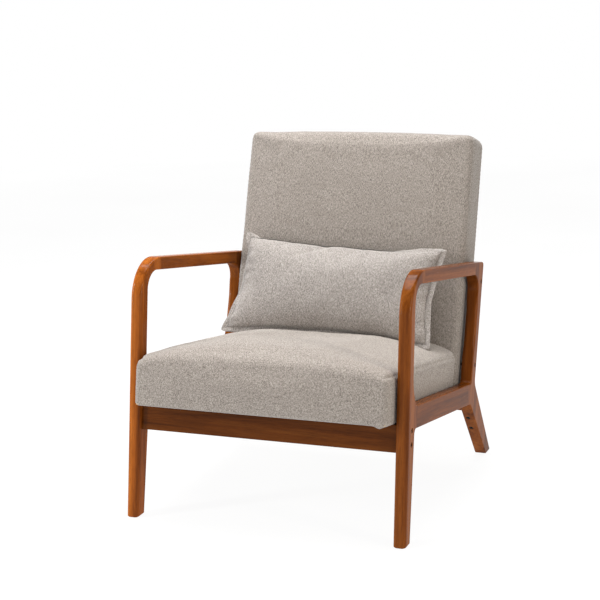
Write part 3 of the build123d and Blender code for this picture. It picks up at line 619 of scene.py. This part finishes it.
def pillow():
    """The lumbar pillow with its flat, slightly rippled flange, and its zip."""
    obj, ring = pillow_body()
    count = len(obj.data.vertices)
    held = np.zeros(count)
    held[ring] = 0.3
    points = points_of(obj.data)
    held[points[:, 1] < 0.02] = 1.0
    swell(obj, held, PILLOW_CAP, stiffness=8.0, calm=2)
    points = points_of(obj.data)
    x, y, z = points.T
    half_x, half_y = PILLOW_HALF
    u = x / half_x
    v = (y - half_y - FLANGE) / half_y
    near_edge = np.exp(-((1 - np.maximum(np.abs(u), np.abs(v))) / 0.13) ** 2)
    folds = 0.0016 * near_edge * np.sin(x / 0.0058 + 2.2 * np.sin(x / 0.031)) * (np.abs(v) > np.abs(u))
    folds += 0.0016 * near_edge * np.sin(y / 0.0060 + 1.9 * np.sin(y / 0.027)) * (np.abs(u) > np.abs(v))
    folds *= 1 - (np.arange(count)[:, None] == np.array(ring)).any(axis=1)
    crease_line = (x + 0.062) * 0.52 - (y - 0.222) * 0.85
    crease = -0.0045 * np.exp(-(crease_line / 0.006) ** 2) * step(y, 0.175, 0.235) * (z > 0)
    swell_line = 0.0022 * ripple(points, 0.055, 3.0) + 0.0010 * ripple(points, 0.022, 5.0)
    soft = 1 - np.exp(-((1 - np.maximum(np.abs(u), np.abs(v))) / 0.05) ** 2)
    points += normals_of(obj.data) * (folds + crease + swell_line * soft)[:, None]
    move_points(obj.data, points)

    edge = points[ring]
    add_flange(obj, edge)
    refine(obj)
    return obj, zip_strip(edge[slice(*ZIP_SPAN)])


def zip_strip(seam):
    """Closed zip on the rear of the lower flange, following its seam: a tape with a row of teeth."""
    verts = []
    for index, point in enumerate(seam):
        for corner, (along, rear) in enumerate(ZIP_PROFILE):
            if corner == ZIP_RIDGE and index % 2:
                rear += ZIP_TOOTH
            verts.append(point + np.array([0, along, -rear]))
    faces = []
    size = len(ZIP_PROFILE)
    for index in range(len(seam) - 1):
        for corner in range(size):
            following = (corner + 1) % size
            faces.append((index * size + corner, index * size + following,
                          (index + 1) * size + following, (index + 1) * size + corner))
    faces.append(tuple(range(size))[::-1])
    faces.append(tuple((len(seam) - 1) * size + corner for corner in range(size)))
    mesh = bpy.data.meshes.new("zip")
    mesh.from_pydata([tuple(v) for v in verts], [], faces)
    return new_object("zip", mesh, pillow_matrix())


def add_flange(obj, edge):
    """Joins a two-layer border to the pillow's seam: it narrows the seam line, then runs out flat."""
    count = len(edge)
    middle = edge.mean(axis=0)
    outward = edge - middle
    half_x, half_y = PILLOW_HALF
    direction = np.stack([
        np.sign(outward[:, 0]) * (np.abs(outward[:, 0]) / half_x) ** 14,
        np.sign(outward[:, 1]) * (np.abs(outward[:, 1]) / half_y) ** 14,
        np.zeros(count),
    ], axis=1)
    direction /= np.maximum(np.abs(direction).max(axis=1), 1e-6)[:, None]
    along = np.cumsum(np.linalg.norm(np.roll(edge, -1, axis=0) - edge, axis=1))
    wave = np.sin(along / 0.0105 + 2.0 * np.sin(along / 0.061))
    u = outward[:, 0] / half_x
    v = outward[:, 1] / half_y
    on_top = step(v, 0.75, 0.88)
    fold = 74 * on_top * step(u, -0.98, -0.86) * (1 - 0.6 * step(u, 0.42, 0.80))
    fold += 52 * step(-u, 0.88, 0.96) * (1 - on_top) * step(v, -0.75, 0.0)
    fold -= 12 * step(-v, 0.75, 0.88)
    bend = np.radians(fold)[:, None]
    out = direction * np.cos(bend) + np.array([0, 0, -1.0]) * np.sin(bend)
    work = bmesh.new()
    rings = []
    for reach, height, lift in ((-0.0012, 0.5, 0.0), (0.0035, 0.42, 0.3), (0.0075, 0.5, 0.8),
                                (FLANGE - 0.001, 0.5, 1.0), (FLANGE, 0.0, 1.0)):
        centre = edge + out * reach
        centre[:, 2] += 0.0016 * wave * lift
        for layer in ((1, -1) if height else (0,)):
            level = centre.copy()
            level[:, 2] += layer * height * FLANGE_THICK
            rings.append((layer, [work.verts.new(p) for p in level]))
    front = [ring for layer, ring in rings if layer == 1]
    rear = [ring for layer, ring in rings if layer == -1]
    tip = rings[-1][1]
    for chain, flip in ((front + [tip], False), (rear + [tip], True)):
        for inner, outer in zip(chain, chain[1:]):
            for index in range(count):
                following = (index + 1) % count
                quad = [inner[index], outer[index], outer[following], inner[following]]
                work.faces.new(quad[::-1] if flip else quad)
    work.normal_update()
    mesh = bpy.data.meshes.new("flange")
    work.to_mesh(mesh)
    work.free()
    join = bmesh.new()
    join.from_mesh(obj.data)
    join.from_mesh(mesh)
    join.to_mesh(obj.data)
    join.free()
    bpy.data.meshes.remove(mesh)


def dent(piece, other, gap=0.0015, search=0.045):
    """Presses piece down, along its own Z, where other lies in it or nearer than gap, and a little way
    round that."""
    tree = BVHTree.FromPolygons([v.co for v in other.data.vertices],
                                [tuple(p.vertices) for p in other.data.polygons])
    to_other = other.matrix_world.inverted() @ piece.matrix_world
    upward = to_other.to_3x3() @ Vector((0, 0, 1))
    points = points_of(piece.data)
    to_piece = to_other.inverted()
    near = points_of(other.data) @ np.array(to_piece.to_3x3()).T + np.array(to_piece.translation)
    low, high = near.min(axis=0) - 0.01, near.max(axis=0) + 0.01
    inside = ((points[:, 0] > low[0]) & (points[:, 0] < high[0]) & (points[:, 1] > low[1])
              & (points[:, 1] < high[1]) & (points[:, 2] > points[:, 2].max() / 2))
    sunk = np.zeros(len(points))
    for index in np.nonzero(inside)[0]:
        start = to_other @ Vector(points[index] - (0, 0, search))
        distance = tree.ray_cast(start, upward, search + gap)[3]
        if distance is not None:
            sunk[index] = search + gap - distance
    first, second = edge_ends(piece.data)
    for _ in range(2):
        wider = sunk.copy()
        np.maximum.at(wider, first, sunk[second])
        np.maximum.at(wider, second, sunk[first])
        sunk = wider
    for _ in range(4):
        sunk = np.maximum(sunk, spread(piece.data, sunk[:, None], 1)[:, 0])
    points[:, 2] -= sunk
    move_points(piece.data, points)


# ---- build -----------------------------------------------------------------------------------
linen_body = linen("upholstery_linen", LINEN_LIGHT, LINEN_DARK)
# painted shade: the back's linen is the seat's linen made darker, standing in for the shade on the upright
# back
linen_back_shaded = linen("back_linen_shaded", LINEN_LIGHT, LINEN_DARK, shade=BACK_PAINTED_SHADE)
linen_pillow = linen("pillow_linen", PILLOW_LIGHT, PILLOW_DARK)

seat = seat_cushion()
back = back_cushion()
lumbar, pillow_zip = pillow()
bpy.context.view_layer.update()
dent(seat, lumbar)
dent(seat, pillow_zip)
dent(back, lumbar)
for piece, material, body, slot, fill, replaced in (
    (seat, linen_body, "chair", "upholstery", 0.9, ("seat_cover", "seat_foam")),
    (back, linen_back_shaded, "chair", "upholstery", 0.95, ("back_cover", "back_foam")),
    (lumbar, linen_pillow, "pillow", "pillow_fabric", 0.7, ("pillow_cover", "pillow_filling")),
):
    piece.data.materials.clear()
    piece.data.materials.append(material)
    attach(piece, body)
    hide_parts(*replaced)
pillow_zip.data.materials.append(plain("zip_metal", (0.50, 0.50, 0.48), 0.38, 1.0, grain=300))
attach(pillow_zip, "pillow")
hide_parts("pillow_zip")

# partly painted light: the left side's wood is made lighter as if lit from the left, the right side's darker
# as if in shade
for side, (leg_shade, arm_shade, rail_shade, post_shade) in WOOD_TONES_AND_PAINTED_LIGHT.items():
    dress(wood(f"{side}_leg_wood", LEG_LEAN, shade=leg_shade), f"{side}_front_leg")
    dress(wood(f"{side}_arm_wood", ARM_TILT + 90, shade=arm_shade), f"{side}_armrest")
    dress(wood(f"{side}_rail_wood", RAIL_TILT + 90, shade=rail_shade), f"{side}_side_rail")
    dress(wood(f"{side}_post_wood", RECLINE, shade=post_shade), f"{side}_rear_post")
# partly painted shade: the front rail is made darker for the shade under the seat cushion, as well as for
# its own darker tone
dress(wood("front_rail_wood", grain="X", shade=0.48), "front_rail")
dress(wood("rear_rail_wood", grain="X", shade=0.70), "rear_rail")
dress(plain("bare_beech", (0.62, 0.43, 0.26), 0.6), "left_frame_dowels", "right_frame_dowels")
dress(plain("bare_pine", (0.66, 0.48, 0.28), 0.7), *[n for n in nodes if n.startswith("seat_frame_")],
      "back_frame_left_stile", "back_frame_right_stile", "back_frame_bottom_rail", "back_frame_top_rail")
dress(plain("hardboard", (0.30, 0.19, 0.11), 0.6, grain=200), "back_panel")
dress(plain("black_oxide", (0.018, 0.017, 0.016), 0.42, 0.6, grain=400), "front_rail_bolts",
      "rear_rail_bolts", "back_bolts")
dress(plain("zinc", (0.56, 0.56, 0.54), 0.38, 1.0, grain=300), "front_rail_barrel_nuts", "rear_rail_inserts",
      "back_frame_inserts", "seat_brackets", "bracket_screws", "spring_clips")
dress(plain("spring_wire", (0.13, 0.13, 0.14), 0.4, 0.9, grain=300), "seat_springs")
dress(plain("non_woven", (0.022, 0.021, 0.021), 0.9, grain=900, depth=0.5), "seat_dust_cover")
dress(plain("webbing", (0.10, 0.09, 0.08), 0.85, grain=700, depth=0.4), "back_webbing")


# ---- floor, light and camera -------------------------------------------------------------------
def floor():
    mesh = bpy.data.meshes.new("floor")
    half = 9.0
    corners = [(-half, -half, 0), (half, -half, 0), (half, half, 0), (-half, half, 0)]
    mesh.from_pydata(corners, [], [(0, 1, 2, 3)])
    obj = new_object("floor", mesh)
    obj.location.z = -0.0005
    material, tree, shader = new_material("floor")
    tone = noise(tree, mapped(tree), 1.5, 2.0)
    tree.links.new(ramp(tree, tone, ((0.3, (0.09, 0.09, 0.09)), (0.7, (0.11, 0.11, 0.11)))),
                   shader.inputs["Base Color"])
    shader.inputs["Roughness"].default_value = 0.9
    shader.inputs["Specular IOR Level"].default_value = 0.0
    shader.inputs["Emission Color"].default_value = (1, 1, 1, 1)
    shader.inputs["Emission Strength"].default_value = 0.93
    mesh.materials.append(material)


def backdrop():
    """Low pale wall round the floor."""
    angles = [2 * math.pi * k / WALL_SIDES for k in range(WALL_SIDES)]
    rim = [(WALL_RADIUS * math.cos(angle), WALL_RADIUS * math.sin(angle)) for angle in angles]
    verts = [(x, y, z) for z in (-0.01, WALL_HEIGHT) for x, y in rim]
    faces = [(k, (k + 1) % WALL_SIDES, WALL_SIDES + (k + 1) % WALL_SIDES, WALL_SIDES + k)
             for k in range(WALL_SIDES)]
    mesh = bpy.data.meshes.new("backdrop")
    mesh.from_pydata(verts, [], faces)
    obj = new_object("backdrop", mesh)
    material, _, shader = new_material("backdrop")
    shader.inputs["Base Color"].default_value = (0, 0, 0, 1)
    shader.inputs["Specular IOR Level"].default_value = 0.0
    shader.inputs["Emission Color"].default_value = (1, 1, 1, 1)
    shader.inputs["Emission Strength"].default_value = 1.0
    mesh.materials.append(material)


def area_light(name, place, size, power, tint):
    data = bpy.data.lights.new(name, "AREA")
    data.shape = "RECTANGLE"
    data.size = size[0]
    data.size_y = size[1]
    data.energy = power
    data.color = tint
    obj = bpy.data.objects.new(name, data)
    scene.collection.objects.link(obj)
    obj.location = place
    obj.rotation_euler = (Vector(LIGHT_TARGET) - Vector(place)).to_track_quat("-Z", "Y").to_euler()


def world(strength):
    scene.world = bpy.data.worlds.new("studio")
    scene.world.use_nodes = True
    background = scene.world.node_tree.nodes["Background"]
    background.inputs["Color"].default_value = (1, 1, 1, 1)
    background.inputs["Strength"].default_value = strength


def camera():
    data = bpy.data.cameras.new("camera")
    data.sensor_width = 36.0
    data.lens = CAMERA_LENS
    data.shift_x, data.shift_y = CAMERA_SHIFT
    obj = bpy.data.objects.new("camera", data)
    scene.collection.objects.link(obj)
    azimuth, pitch, roll = (math.radians(angle) for angle in CAMERA_TURN)
    turn = (Matrix.Rotation(azimuth, 4, "Z") @ Matrix.Rotation(math.pi / 2 - pitch, 4, "X")
            @ Matrix.Rotation(roll, 4, "Z"))
    obj.matrix_world = Matrix.Translation(CAMERA_PLACE) @ turn
    scene.camera = obj


floor()
backdrop()
world(0.26)
for light in LIGHTS:
    area_light(*light)
camera()
scene.view_settings.view_transform = "Standard"
